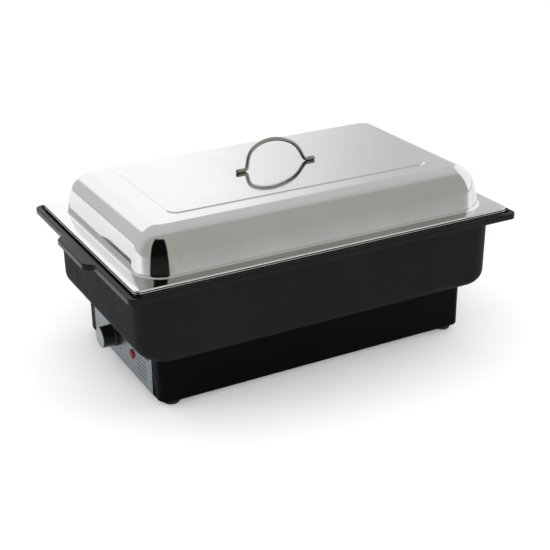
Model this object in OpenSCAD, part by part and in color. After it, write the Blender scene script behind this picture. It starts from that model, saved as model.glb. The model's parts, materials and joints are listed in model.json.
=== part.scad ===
// Electric buffet server for one full-size gastronorm pan: a black moulded tub on a
// narrower plinth, a steel water bath with a heating element under it, a steel food pan
// and a polished lift-off lid with a wire handle.
// Origin at the middle of the footprint, on the table. +X along the long side, +Z up.
// The control panel is on the short side at -X.

/* [Food pan] */
// Length of the gastronorm rim
rim_l = 530; // [529:0.5:531]
// Width of the gastronorm rim
rim_w = 325; // [324:0.5:326]
// Outer corner radius of the steel rims
rim_r = 9; // [8:0.5:10]
// Depth of the food pan
pan_depth = 65; // [40:5:65]
// Sheet thickness of the pans and of the lid
sheet_t = 0.8; // [0.6:0.1:0.9]

/* [Tub] */
// Length of the tub just above its bottom fillet
tub_l = 507; // [506:0.5:508]
// Width of the tub just above its bottom fillet
tub_w = 317; // [316:0.5:318]
// Corner radius of the tub at the same height
tub_r = 40; // [38:1:42]
// How far the wall leans out over its height
tub_draft = 0.8; // [0.5:0.1:1.2]
// Wall thickness of the mouldings
wall_t = 2.5; // [2.2:0.1:2.6]
// Radius of the fillet round the tub's bottom
tub_fillet = 20; // [14:1:22]
// Length of the black lip, without the grips
lip_l = 548.2; // [547:0.2:549]
// Width of the black lip
lip_w = 344; // [343:0.5:346]
// Corner radius of the lip
lip_r = 10; // [8:1:12]
// Height of the lip's outer face
lip_h = 7.8; // [7:0.1:8.4]
// How far the grips stand out past the short sides
grip_out = 10.8; // [9:0.2:12]
// Half the straight length of a grip
grip_half = 43.4; // [40:0.2:48]

/* [Plinth] */
// Length of the plinth
plinth_l = 450; // [448:1:452]
// Width of the plinth
plinth_w = 252; // [251:1:253]
// Corner radius of the plinth
plinth_r = 13; // [12:1:16]
// Height of the feet below the plinth
foot_h = 7.5; // [7:0.5:8]
// Radius of a foot
foot_r = 11; // [9:0.5:11]

/* [Lid] */
// Length of the dome at its root
dome_l = 495.5; // [494:0.5:496]
// Width of the dome at its root
dome_w = 293; // [291:0.5:294]
// Corner radius of the dome at its root
dome_r = 41; // [40:0.5:42]
// Length of the raised panel on the lid
panel_l = 373; // [360:1:376]
// Width of the raised panel on the lid
panel_w = 180; // [170:1:182]
// Height of the raised panel above the flat round it
emboss = 1.2; // [0.6:0.1:1.5]
// Radius of the handle's rod
rod_r = 2.75; // [2.5:0.05:3]
// Distance of the handle's middle from the lid's middle
handle_x = 5; // [-5:1:8]
// How far the handle leans back
handle_lean = 22; // [0:1:25]

/* [Controls] */
// Distance of the knob's axis from the panel's middle
knob_y = 20; // [18:1:24]
// Radius of the knob's barrel
knob_r = 14.4; // [14:0.1:14.6]
// Radius of the knob's skirt
skirt_r = 15.8; // [15.8:0.1:17]
// Distance of the pilot lamp from the panel's middle
lamp_y = -36.5; // [-40:0.5:-34]
// Radius of the lamp's lens
lamp_r = 6.5; // [6:0.5:7.5]

/* [Hidden] */
$fn = 64;

// heights
z_plinth = foot_h;
z_tub = 74.6;
z_ledge = 176.5;
ledge_t = 3.2;
z_lip = 178;
z_pan = 180.6;
hem_h = 3.2;
z_pan_edge = z_pan - hem_h;
z_flange = 183.8;
z_fold = 236.8;
z_top = z_fold + emboss;
z_bath = 90;

// straight cores that the swept corners turn round
tub_cl = tub_l - 2 * tub_r;
tub_cw = tub_w - 2 * tub_r;
pan_cl = 446;
pan_cw = 241;
dome_cl = dome_l - 2 * dome_r;
dome_cw = dome_w - 2 * dome_r;
rim_cl = rim_l - 2 * rim_r;
rim_cw = rim_w - 2 * rim_r;
emboss_r = 14;
emboss_cl = panel_l - 2 * emboss_r;
emboss_cw = panel_w - 2 * emboss_r;

// control panel
panel_x = -plinth_l / 2;
plate_l = 198;
plate_h = 60;
plate_t = 1.4;
plate_face = panel_x - 0.4;
ctrl_z = z_plinth + 1 + plate_h / 2;
knob_z = 40;
lamp_z = 36.5;
thermostat_pitch = 9.5;

// corner posts, which line up with the feet
post_x = 206;
post_y = 110.5;
corners = [for (sx = [-1, 1], sy = [-1, 1]) [sx * post_x, sy * post_y]];

// heating element
tube_r = 3.25;
plate_z = z_bath - 3;
tube_z = plate_z - tube_r;
loop_x = 160;
loop_y = 75;

// power inlet, on the back of the plinth
inlet_x = -120;
inlet_z = 38;
pin_y = plinth_w / 2 - 26.5;

function arc(c, r, a0, a1, n) =
  [for (i = [0 : n]) c + r * [cos(a0 + (a1 - a0) * i / n), sin(a0 + (a1 - a0) * i / n)]];

function bend(a, p, b, n) =
  [for (i = [0 : n]) let (t = i / n) (1 - t) * (1 - t) * a + 2 * t * (1 - t) * p + t * t * b];

function unit(v) = v / norm(v);

function reversed(p) = [for (i = [len(p) - 1 : -1 : 0]) p[i]];

// the point of a sheet's far face that lies opposite point i of its near face
function far_point(p, i, d) =
  let (
    last = len(p) - 1,
    a = unit(i == 0 ? p[1] - p[0] : p[i] - p[i - 1]),
    b = unit(i == last ? p[last] - p[last - 1] : p[i + 1] - p[i]),
    na = [-a[1], a[0]],
    m = unit(na + [-b[1], b[0]])
  )
  p[i] + m * d / (m * na);

// closed section of a sheet that lies to the left of the line p
function sheet(p, d) = concat(p, reversed([for (i = [0 : len(p) - 1]) far_point(p, i, d)]));

// turns a section (x outward from the core, y up) round a rectangle with rounded corners
module swept(cl, cw) {
  for (c = [[1, 1, 0], [-1, 1, 90], [-1, -1, 180], [1, -1, 270]])
    translate([c[0] * cl / 2, c[1] * cw / 2, 0])
      rotate([0, 0, c[2]])
        rotate_extrude(angle = 90) children();
  for (a = [0, 180])
    rotate([0, 0, a]) {
      translate([0, -cw / 2, 0])
        rotate([90, 0, -90])
          linear_extrude(height = cl, center = true) children();
      translate([cl / 2, 0, 0])
        rotate([90, 0, 0])
          linear_extrude(height = cw, center = true) children();
    }
}

// flat plate with rounded corners, from z up
module plate(l, w, r, z, h) {
  translate([0, 0, z + h / 2]) {
    cube([l - 2 * r, w, h], center = true);
    cube([l, w - 2 * r, h], center = true);
    for (sx = [-1, 1], sy = [-1, 1])
      translate([sx * (l / 2 - r), sy * (w / 2 - r), 0])
        cylinder(h = h, r = r, center = true);
  }
}

// round bar through a list of points, with one bend radius for each inner point
module bar(pts, r, radii) {
  last = len(pts) - 1;
  dirs = [for (i = [0 : last - 1]) unit(pts[i + 1] - pts[i])];
  turns = [for (i = [1 : last - 1]) acos(dirs[i - 1] * dirs[i])];
  trims = concat([0], [for (i = [0 : last - 2]) radii[i] * tan(turns[i] / 2)], [0]);
  for (i = [0 : last - 1])
    rod_between(pts[i] + dirs[i] * trims[i], pts[i + 1] - dirs[i] * trims[i + 1], r);
  for (i = [1 : last - 1])
    elbow(pts[i], dirs[i - 1], dirs[i], turns[i - 1], trims[i], radii[i - 1], r);
}

module rod_between(a, b, r) {
  d = b - a;
  translate(a)
    rotate([0, acos(d[2] / norm(d)), atan2(d[1], d[0])])
      cylinder(h = norm(d), r = r, $fn = 32);
}

module elbow(p, a, b, turn, trim, bend_r, r) {
  n = unit(b - (a * b) * a);
  c = p - a * trim + n * bend_r;
  w = cross(-n, a);
  multmatrix([
    [-n[0], a[0], w[0], c[0]],
    [-n[1], a[1], w[1], c[1]],
    [-n[2], a[2], w[2], c[2]],
    [0, 0, 0, 1]
  ])
    rotate_extrude(angle = turn, $fn = 64)
      translate([bend_r, 0])
        circle(r = r, $fn = 32);
}

// points along one rounded corner of a route
function corner_points(p, a, b, bend_r, step) =
  let (turn = acos(a * b), n = unit(b - (a * b) * a), m = max(2, ceil(turn / step)),
    s = p - a * bend_r * tan(turn / 2))
  [for (i = [0 : m]) s + n * bend_r * (1 - cos(turn * i / m)) + a * bend_r * sin(turn * i / m)];

function route(pts, radii, step) =
  let (last = len(pts) - 1)
  concat([pts[0]],
    [for (i = [1 : last - 1]) each corner_points(pts[i], unit(pts[i] - pts[i - 1]),
      unit(pts[i + 1] - pts[i]), radii[i - 1], step)],
    [pts[last]]);

function across(v) = abs(v[2]) < 0.9 ? unit(cross(v, [0, 0, 1])) : unit(cross(v, [1, 0, 0]));

// bent wire of many sides along a rounded route
module wire(pts, r, radii, sides = 8, step = 15) {
  p = route(pts, radii, step);
  n = len(p);
  t = [for (i = [0 : n - 1]) unit(p[min(i + 1, n - 1)] - p[max(i - 1, 0)])];
  u = [for (i = 0, w = across(t[0]); i < n;
    i = i + 1, w = i < n ? unit(w - (w * t[i]) * t[i]) : w) w];
  rings = [for (i = [0 : n - 1], k = [0 : sides - 1])
    p[i] + r * (cos(360 * k / sides) * u[i] + sin(360 * k / sides) * cross(t[i], u[i]))];
  sides_of = [for (i = [0 : n - 2], k = [0 : sides - 1])
    let (a = i * sides + k, b = i * sides + (k + 1) % sides)
    each [[a, a + sides, b], [b, a + sides, b + sides]]];
  ends = [[for (k = [0 : sides - 1]) k],
    [for (k = [sides - 1 : -1 : 0]) (n - 1) * sides + k]];
  polyhedron(points = rings, faces = concat(sides_of, ends), convexity = 8);
}

// pan-head screw: head seated at z = 0 on top, shank down
module screw(head_r, head_h, shank_r, shank_l) {
  difference() {
    union() {
      cylinder(h = head_h, r = head_r, $fn = 32);
      translate([0, 0, -shank_l])
        cylinder(h = shank_l + 0.01, r = shank_r, $fn = 32);
    }
    translate([0, 0, head_h])
      for (a = [0, 90])
        rotate([0, 0, a])
          cube([head_r * 1.1, head_r * 0.26, head_h * 0.9], center = true);
  }
}

// hexagonal nut, bored clear of its stud
module nut(across, h, bore_r) {
  difference() {
    cylinder(h = h, r = across / sqrt(3), $fn = 6);
    translate([0, 0, -1])
      cylinder(h = h + 2, r = bore_r, $fn = 32);
  }
}

// ---- lip outline --------------------------------------------------------------------

grip_run = 15;
lip_yc = lip_w / 2 - lip_r;

function ease(t) = t <= 0 ? 0 : t >= 1 ? 1 : (1 - cos(180 * t)) / 2;

function side_x(y) =
  lip_l / 2
  + grip_out * ease((grip_half + grip_run - abs(y)) / grip_run);

// heights along half of a short side: plain run, step out, grip
side_steps = concat(
  [for (i = [0 : 5]) lip_yc + (grip_half + grip_run - lip_yc) * i / 6],
  [for (i = [0 : 10]) grip_half + grip_run - grip_run * i / 10],
  [for (i = [1 : 3]) grip_half * (1 - i / 3)]
);
side_y = concat(side_steps, [for (i = [len(side_steps) - 2 : -1 : 0]) -side_steps[i]]);

// outline of the lip, drawn in by d
function lip_outline(d) = concat(
  arc([lip_l / 2 - lip_r, lip_yc], lip_r - d, 90, 7.5, 11),
  [for (y = side_y) [side_x(y) - d, y]],
  arc([lip_l / 2 - lip_r, -lip_yc], lip_r - d, -7.5, -90, 11),
  arc([-lip_l / 2 + lip_r, -lip_yc], lip_r - d, 270, 187.5, 11),
  [for (y = reversed(side_y)) [-side_x(y) + d, y]],
  arc([-lip_l / 2 + lip_r, lip_yc], lip_r - d, 172.5, 90, 11)
);

module lip_slab(d, z, h) {
  translate([0, 0, z])
    linear_extrude(height = h)
      polygon(lip_outline(d));
}

// ---- housing ------------------------------------------------------------------------

tub_wall_line = concat(
  arc([tub_r - tub_fillet, z_tub + tub_fillet], tub_fillet, -90, 0, 8),
  [[tub_r + tub_draft, z_ledge - ledge_t + 0.5]]
);

module floor_holes(z, h) {
  for (c = corners)
    translate([c[0], c[1], z])
      cylinder(h = h, r = 1.9, $fn = 32);
  translate([-187, -42, z])
    cube([52, 84, h]);
}

module tub() {
  color("#1d1f20") {
    difference() {
      union() {
        swept(tub_cl, tub_cw) polygon(sheet(tub_wall_line, wall_t));
        plate(tub_cl + 2 * (tub_r - tub_fillet), tub_cw + 2 * (tub_r - tub_fillet),
          tub_r - tub_fillet, z_tub, wall_t);
      }
      floor_holes(z_tub - 1, wall_t + 2);
    }
    difference() {
      lip_slab(1, z_ledge - ledge_t, ledge_t);
      plate(tub_cl + 2 * (tub_r + tub_draft - wall_t), tub_cw + 2 * (tub_r + tub_draft - wall_t),
        tub_r + tub_draft - wall_t, z_ledge - ledge_t - 1, ledge_t + 2);
    }
    difference() {
      union() {
        lip_slab(0, z_lip - lip_h, lip_h - 0.5);
        lip_slab(0.5, z_lip - 0.5, 0.5);
      }
      lip_slab(3, z_lip - lip_h - 1, z_ledge - z_lip + lip_h + 0.9);
      plate(lip_l - 14, lip_w - 14, 4, z_ledge - 0.2, 5);
    }
  }
}

module post() {
  difference() {
    union() {
      cylinder(h = z_tub - z_plinth - 2.5, r = 6, $fn = 32);
      translate([0, -1.25, 0])
        cube([plinth_l / 2 - 1.5 - post_x, 2.5, z_tub - z_plinth - 2.5]);
      translate([-1.25, 0, 0])
        cube([2.5, plinth_w / 2 - 1.5 - post_y, z_tub - z_plinth - 2.5]);
    }
    translate([0, 0, -1])
      cylinder(h = z_tub, r = 1.8, $fn = 32);
  }
}

module plinth() {
  h = z_tub - z_plinth;
  color("#191b1c")
    difference() {
      union() {
        difference() {
          plate(plinth_l, plinth_w, plinth_r, z_plinth, h);
          plate(plinth_l - 6, plinth_w - 6, plinth_r - 3, z_plinth - 1, h + 2);
        }
        difference() {
          plate(plinth_l - 4, plinth_w - 4, plinth_r - 2, z_tub - 3, 3);
          plate(plinth_l - 60, plinth_w - 60, 8, z_tub - 4, 5);
        }
        for (sx = [0, 1], sy = [0, 1])
          mirror([sx, 0, 0])
            mirror([0, sy, 0])
              translate([post_x, post_y, z_plinth + 2.5])
                post();
      }
      translate([panel_x - 1, -plate_l / 2 - 0.2, ctrl_z - plate_h / 2 - 0.2])
        cube([2, plate_l + 0.4, plate_h + 0.4]);
      translate([panel_x - 1, -80, ctrl_z - 22])
        cube([6, 160, 44]);
      translate([inlet_x - 14.2, plinth_w / 2 - 5, inlet_z - 10.2])
        cube([28.4, 10, 20.4]);
      for (sx = [-20, 20])
        translate([inlet_x + sx, plinth_w / 2 - 5, inlet_z])
          rotate([-90, 0, 0])
            cylinder(h = 10, r = 1.6, $fn = 32);
      for (c = corners)
        translate([c[0], c[1], z_tub - 5])
          cylinder(h = 8, r = 1.8, $fn = 32);
    }
}

module bottom_cover() {
  color("#9da1a4")
    difference() {
      plate(plinth_l - 7, plinth_w - 7, plinth_r - 3.5, z_plinth + 1.5, 1);
      for (c = corners)
        translate([c[0], c[1], z_plinth])
          cylinder(h = 5, r = 2, $fn = 32);
      for (i = [-6 : 6], sy = [-1, 1])
        translate([40 + i * 12, sy * 60, z_plinth])
          cube([4, 50, 8], center = true);
      translate([-100, -50, z_plinth])
        cylinder(h = 5, r = 2.1, $fn = 32);
      for (sy = [-15, 15])
        translate([-130, sy, z_plinth])
          cylinder(h = 5, r = 1.6, $fn = 32);
    }
}

module feet() {
  color("#101010")
    for (c = corners)
      translate([c[0], c[1], 0])
        difference() {
          rotate_extrude()
            polygon(concat([[0, 0], [foot_r - 2, 0]], arc([foot_r - 2, 2], 2, -75, 0, 5),
              [[foot_r, z_plinth + 1.5], [0, z_plinth + 1.5]]));
          translate([0, 0, -1])
            cylinder(h = 6, r = 4.5, $fn = 32);
          cylinder(h = 20, r = 2, $fn = 32);
        }
}

module foot_screws() {
  color("#c4c7c9")
    for (c = corners)
      translate([c[0], c[1], 5])
        rotate([180, 0, 0])
          screw(4, 2.4, 1.8, 22);
}

module tub_screws() {
  color("#c4c7c9")
    for (c = corners)
      translate([c[0], c[1], z_tub + wall_t])
        screw(4, 2.4, 1.8, 16);
}

// ---- water bath ---------------------------------------------------------------------

bath_top = tub_r + tub_draft - wall_t - 0.8;
bath_low = tub_r - wall_t - 1.4;
bath_line = concat(
  [[bath_top - sheet_t + 2, z_ledge + sheet_t]],
  arc([bath_top - sheet_t + 1.5, z_ledge + sheet_t - 1.5], 1.5, 90, 180, 4),
  [[bath_low - sheet_t, z_bath + 12]],
  arc([bath_low - sheet_t - 8, z_bath + sheet_t + 8], 8, 0, -90, 6)
);

module water_pan() {
  color("#b9bcbd") {
    swept(tub_cl, tub_cw) polygon(sheet(bath_line, sheet_t));
    plate(tub_cl + 2 * (bath_low - sheet_t - 7.9), tub_cw + 2 * (bath_low - sheet_t - 7.9),
      bath_low - sheet_t - 7.9, z_bath, sheet_t);
    difference() {
      plate(rim_l - 1, rim_w - 1, rim_r - 0.5, z_ledge, sheet_t);
      plate(tub_cl + 2 * (bath_top - sheet_t + 1.9), tub_cw + 2 * (bath_top - sheet_t + 1.9),
        bath_top - sheet_t + 1.9, z_ledge - 1, 3);
    }
  }
}

module heat_shield() {
  color("#a9adaf")
    difference() {
      plate(396, 216, 12, z_tub + wall_t, 0.6);
      floor_holes(z_tub, 8);
    }
}

module element_plate() {
  color("#c9cccd") {
    plate(356, 196, 14, plate_z, 3);
    for (x = [-100, 0, 100], sy = [-1, 1])
      translate([x, sy * 60, plate_z - 8.6])
        cylinder(h = 8.7, r = 2, $fn = 32);
  }
}

loop_path = [
  [-loop_x, -15, 56], [-loop_x, -15, tube_z], [-loop_x, -loop_y, tube_z],
  [loop_x, -loop_y, tube_z], [loop_x, loop_y, tube_z], [-loop_x, loop_y, tube_z],
  [-loop_x, 15, tube_z], [-loop_x, 15, 56]
];

module heating_element() {
  color("#6d6a66")
    bar(loop_path, tube_r, [12, 24, 24, 24, 24, 12]);
}

module element_terminals() {
  color("#b59a4c")
    for (sy = [-1, 1])
      translate([-loop_x, sy * 15, 48])
        cylinder(h = 8, r = 1.6, $fn = 32);
}

module element_clamps() {
  z = tube_z - tube_r - 1;
  color("#aeb1b3")
    for (x = [-100, 0, 100])
      difference() {
        translate([x - 7, -loop_y - 9, z])
          cube([14, 2 * loop_y + 18, 1]);
        for (sy = [-1, 1])
          translate([x, sy * 60, z - 1])
            cylinder(h = 3, r = 2.1, $fn = 32);
      }
}

module clamp_nuts() {
  color("#c4c7c9")
    for (x = [-100, 0, 100], sy = [-1, 1])
      translate([x, sy * 60, tube_z - tube_r - 2.6])
        nut(7, 1.6, 2.1);
}

module sensor_bulb() {
  color("#b87333")
    translate([-60, 30, plate_z - 3.1])
      rotate([0, 90, 0])
        cylinder(h = 90, r = 3, $fn = 32);
}

module bulb_clip() {
  color("#aeb1b3")
    for (x = [-45, 15])
      translate([x, 22, plate_z - 7.2])
        difference() {
          cube([8, 16, 7.2]);
          translate([-1, 1, 1])
            cube([10, 14, 7]);
        }
}

module capillary_tube() {
  z = plate_z - 3.1;
  color("#b87333")
    wire([[-60, 30, z], [-125, 30, z], [-143, 6, z], [-176, 6, z], [-176, 6, 44],
      [plate_face + plate_t + 27.2, 6, 44]], 0.9, [8, 8, 10, 8]);
}

module thermal_cutout() {
  color("#d9d4c8")
    translate([60, -30, plate_z - 6.5]) {
      cylinder(h = 6.4, r = 8);
      for (sx = [-1, 1])
        translate([sx * 10, 0, 1.5])
          cube([8, 6, 0.8], center = true);
    }
}

module cutout_bracket() {
  color("#aeb1b3")
    difference() {
      translate([60 - 16, -30 - 14, plate_z - 1])
        cube([32, 28, 1]);
      translate([60, -30, plate_z - 2])
        cylinder(h = 3, r = 8.2);
    }
}

// ---- controls -----------------------------------------------------------------------

module control_panel() {
  color("#b8bdc1")
    difference() {
      translate([plate_face, -plate_l / 2, ctrl_z - plate_h / 2])
        cube([plate_t, plate_l, plate_h]);
      translate([plate_face - 1, knob_y, knob_z])
        rotate([0, 90, 0])
          cylinder(h = 4, r = 5, $fn = 32);
      for (sy = [-1, 1])
        translate([plate_face - 1, knob_y + sy * thermostat_pitch, knob_z])
          rotate([0, 90, 0])
            cylinder(h = 4, r = 1.7, $fn = 32);
      translate([plate_face - 1, lamp_y, lamp_z])
        rotate([0, 90, 0])
          cylinder(h = 4, r = 4.6, $fn = 32);
    }
}

// raised printing: a plain scale round the knob and plain bars beside the lamp
module panel_marks() {
  color("#2b2f33")
    translate([plate_face - 0.15, 0, 0]) {
      for (i = [0 : 9])
        translate([0, knob_y, knob_z])
          rotate([-135 + i * 30, 0, 0])
            translate([0, -0.45, skirt_r + 1.6])
              cube([0.15, 0.9, i % 3 == 0 ? 5 : 3]);
      for (i = [0 : 4])
        translate([0, -80, ctrl_z - 20 + i * 6])
          cube([0.15, i == 4 ? 22 : 30, 1]);
      translate([0, -90, ctrl_z + 12])
        cube([0.15, 10, 10]);
    }
}

module lamp_lens() {
  color("#a3161b")
    translate([plate_face, lamp_y, lamp_z])
      rotate([0, -90, 0])
        rotate_extrude()
          polygon(concat([[0, 0], [lamp_r, 0], [lamp_r, 1.2]],
            bend([lamp_r, 1.2], [lamp_r - 1.2, 3.6], [0, 3.8], 6)));
}

module lamp_body() {
  color("#e2ded4")
    translate([plate_face, lamp_y, lamp_z])
      rotate([0, 90, 0]) {
        cylinder(h = 26, r = 4.5);
        for (sy = [-2.5, 2.5])
          translate([0, sy, 29])
            cube([4.8, 0.8, 8], center = true);
      }
}

module lamp_nut() {
  color("#c4c7c9")
    translate([plate_face + plate_t, lamp_y, lamp_z])
      rotate([0, 90, 0])
        nut(13, 3, 4.6);
}

module thermostat_body() {
  color("#cfc8b8")
    difference() {
      union() {
        translate([plate_face + plate_t, knob_y - 19, knob_z - 15])
          cube([1.2, 38, 30]);
        translate([plate_face + plate_t + 1.2, knob_y - 17, knob_z - 14])
          cube([26, 34, 28]);
      }
      translate([plate_face - 1, knob_y, knob_z])
        rotate([0, 90, 0])
          cylinder(h = 14, r = 3.05, $fn = 48);
      for (sy = [-1, 1])
        translate([plate_face - 1, knob_y + sy * thermostat_pitch, knob_z])
          rotate([0, 90, 0])
            cylinder(h = 9.5, r = 1.55, $fn = 32);
    }
}

module thermostat_tabs() {
  color("#b59a4c")
    for (sy = [-10, 0, 10])
      translate([plate_face + plate_t + 27.2, knob_y + sy - 3, knob_z - 8])
        cube([8, 6, 0.8]);
}

module thermostat_screws() {
  color("#c4c7c9")
    for (sy = [-1, 1])
      translate([plate_face, knob_y + sy * thermostat_pitch, knob_z])
        rotate([0, -90, 0])
          screw(2.4, 1, 1.5, 8);
}

module thermostat_shaft() {
  color("#c4c7c9")
    translate([plate_face - 15.2, knob_y, knob_z])
      rotate([0, 90, 0])
        cylinder(h = 25.2, r = 3, $fn = 48);
}

knob_back = plate_face - 1.6;
knob_front = plate_face - 22.6;
knob_bore = 13.6;
pointer_turn = 135;

module knob_body() {
  color("#121314")
    translate([knob_back, knob_y, knob_z])
      rotate([0, -90, 0])
        difference() {
          rotate_extrude()
            polygon([
              [0, 0], [skirt_r, 0], [skirt_r, 3.4], [skirt_r - 0.4, 3.8],
              [knob_r + 0.5, 3.8], [knob_r + 0.1, 4.6],
              [knob_r - 0.3, knob_back - knob_front - 1.4],
              [knob_r - 0.9, knob_back - knob_front - 0.8], [0, knob_back - knob_front - 0.8]
            ]);
          translate([0, 0, -1])
            cylinder(h = knob_bore + 1, r = 3, $fn = 48);
          pointer_bar();
        }
}

// inlay across the skirt, in the knob's own frame (z away from the panel)
module pointer_bar() {
  rotate([0, 0, pointer_turn])
    translate([skirt_r - 1.2, -0.7, 0.8])
      cube([1.6, 1.4, 2]);
}

module knob_cap() {
  color("#b3b8bb")
    translate([knob_front + 0.8, knob_y, knob_z])
      rotate([0, -90, 0])
        rotate_extrude()
          polygon([[0, 0], [knob_r - 1, 0], [knob_r - 1, 0.4], [knob_r - 1.4, 0.8],
            [knob_r - 2.2, 0.8], [knob_r - 2.6, 0.5], [0, 0.5]]);
}

module knob_pointer() {
  color("#f0f0f0")
    translate([knob_back, knob_y, knob_z])
      rotate([0, -90, 0])
        pointer_bar();
}

// ---- wiring and inlet ---------------------------------------------------------------

module terminal_block() {
  color("#ebe6da")
    difference() {
      translate([-150, -22, z_plinth + 2.5])
        cube([40, 44, 14]);
      for (sy = [-15, 15])
        translate([-130, sy, z_plinth])
          cylinder(h = 30, r = 1.6, $fn = 32);
      for (i = [-1 : 1])
        translate([-151, i * 9, z_plinth + 9.5])
          rotate([0, 90, 0])
            cylinder(h = 42, r = 1.6, $fn = 32);
    }
}

module block_screws() {
  color("#c4c7c9")
    for (sy = [-15, 15])
      translate([-130, sy, z_plinth + 16.5])
        screw(2.8, 1.8, 1.5, 15);
}

module earth_stud() {
  color("#b59a4c")
    translate([-100, -50, z_plinth + 0.9]) {
      cylinder(h = 14, r = 2, $fn = 32);
      cylinder(h = 0.6, r = 4, $fn = 32);
    }
}

module earth_nut() {
  color("#c4c7c9")
    translate([-100, -50, z_plinth + 2.5])
      nut(7, 3, 2.1);
}

block_z = z_plinth + 9.5;
tab_x = plate_face + plate_t + 36;
tab_z = knob_z - 7.6;
sleeve_z = z_tub + wall_t + 1.5;
cutout_z = plate_z - 5;

// supply live, and live on to the thermostat
module wire_live() {
  z = block_z;
  color("#6b4a2c") {
    wire([[-127, pin_y, 36], [-127, 88, 36], [-170, 60, z], [-170, 0, z], [-150.5, 0, z]],
      1.2, [6, 10, 10]);
    wire([[-109.5, 0, z], [-90, 0, z], [-90, 36, z + 8], [-176, 40, 28],
      [tab_x, knob_y + 10, tab_z]],
      1.2, [6, 8, 4]);
  }
}

// supply neutral, and neutral on to the element
module wire_neutral() {
  z = block_z;
  color("#2f5fa3") {
    wire([[-113, pin_y, 36], [-113, 80, 36], [-158, 54, z], [-160, 9, z], [-150.5, 9, z]],
      1.2, [6, 10, 5]);
    wire([[-109.5, 9, z], [-99, 9, z], [-99, 2, 36], [-150, -14.5, 38], [-loop_x, -15, 38],
      [-loop_x, -15, 48]], 1.2, [5, 8, 2, 4]);
  }
}

module wire_earth() {
  z = block_z;
  color("#7da23a") {
    wire([[-120, pin_y, 42], [-120, 84, 42], [-75, 60, z + 2], [-75, -9, z], [-109.5, -9, z]],
      1.2, [6, 10, 10]);
    wire([[-150.5, -9, z], [-160, -9, z], [-160, -50, z], [-104, -50, z]],
      1.2, [5, 10]);
  }
}

// sleeved wires from the thermostat to the cut-out, and from the cut-out to the element
module wire_switched() {
  z = sleeve_z;
  color("#e6e1d3") {
    wire([[tab_x, knob_y, tab_z], [-180, knob_y, tab_z], [-180, 34, 56], [-180, 36, z],
      [-140, 36, z], [30, -30, z], [38, -30, cutout_z], [45.5, -30, cutout_z]],
      0.75, [3, 6, 3, 8, 8, 4]);
    wire([[74.5, -30, cutout_z], [82, -30, cutout_z], [86, -46, z], [-142, -36, z], [-142, -36, 56],
      [-142, 12, 42], [-loop_x, 15, 42], [-loop_x, 15, 48]],
      0.75, [3, 4, 3, 8, 4, 3]);
  }
}

// pilot lamp, from the thermostat's output to the element's neutral end
module wire_lamp() {
  lead_x = plate_face + 33.1;
  color("#e6e1d3") {
    wire([[lead_x, lamp_y + 2.5, lamp_z], [-183, lamp_y + 2.5, lamp_z], [-181, 9, 33],
      [tab_x, knob_y - 10, tab_z]], 0.75, [4, 4]);
    wire([[lead_x, lamp_y - 2.5, lamp_z], [-182, lamp_y - 3.5, lamp_z], [-172, -24, 50],
      [-162.4, -15.9, 52]], 0.75, [4, 4]);
  }
}

module inlet_body() {
  color("#151515")
    difference() {
      union() {
        translate([inlet_x - 25, plinth_w / 2, inlet_z - 12])
          cube([50, 2.5, 24]);
        translate([inlet_x - 14, plinth_w / 2 - 24, inlet_z - 10])
          cube([28, 24.1, 20]);
      }
      translate([inlet_x - 12, plinth_w / 2 - 15, inlet_z - 8.3])
        cube([24, 20, 16.6]);
      for (sx = [-20, 20])
        translate([inlet_x + sx, plinth_w / 2 - 1, inlet_z])
          rotate([-90, 0, 0])
            cylinder(h = 5, r = 1.7, $fn = 32);
      for (p = [[-7, -1.8], [7, -1.8], [0, 2.2]])
        translate([inlet_x + p[0] - 1.1, plinth_w / 2 - 30, inlet_z + p[1] - 2.1])
          cube([2.2, 20, 4.2]);
    }
}

module inlet_pins() {
  color("#c9ad5c")
    for (p = [[-7, -1.8], [7, -1.8], [0, 2.2]])
      translate([inlet_x + p[0] - 1, plinth_w / 2 - 26, inlet_z + p[1] - 2])
        cube([2, 24, 4]);
}

module inlet_screws() {
  color("#c4c7c9")
    for (sx = [-20, 20])
      translate([inlet_x + sx, plinth_w / 2 + 2.5, inlet_z])
        rotate([-90, 0, 0])
          screw(3, 1.6, 1.5, 8);
}

// ---- food pan -----------------------------------------------------------------------

// rolled edge of a steel rim, from z up
module rim_edge(z, h) {
  swept(rim_cl, rim_cw)
    polygon(concat(
      [[rim_r - 2.2, z + h], [rim_r - 2.2, z + 0.4], [rim_r - 1.8, z], [rim_r - 0.4, z],
        [rim_r, z + 0.4]],
      arc([rim_r - 0.9, z + h - 0.9], 0.9, 0, 90, 4)
    ));
}

// flat flange between a steel rim and the opening inside it
module rim_flange(z, cl, cw, r) {
  difference() {
    plate(rim_l - 3.2, rim_w - 3.2, rim_r - 1.6, z - sheet_t, sheet_t);
    plate(cl + 2 * r, cw + 2 * r, r, z - 3, 6);
  }
}

pan_low = 13;
pan_floor = z_pan - pan_depth;
pan_line = concat(
  [[26, z_pan]],
  arc([25, z_pan - 4], 4, 90, 180, 5),
  arc([pan_low - 12, pan_floor + sheet_t + 12], 12, 8, -90, 8)
);

module food_pan() {
  color("#c8cbcc") {
    swept(pan_cl, pan_cw) polygon(sheet(pan_line, sheet_t));
    plate(pan_cl + 2 * (pan_low - 12) + 0.2, pan_cw + 2 * (pan_low - 12) + 0.2, pan_low - 11.9,
      pan_floor, sheet_t);
    rim_flange(z_pan, pan_cl, pan_cw, 25.9);
    rim_edge(z_pan_edge, hem_h);
  }
}

// ---- lid ----------------------------------------------------------------------------

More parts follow.
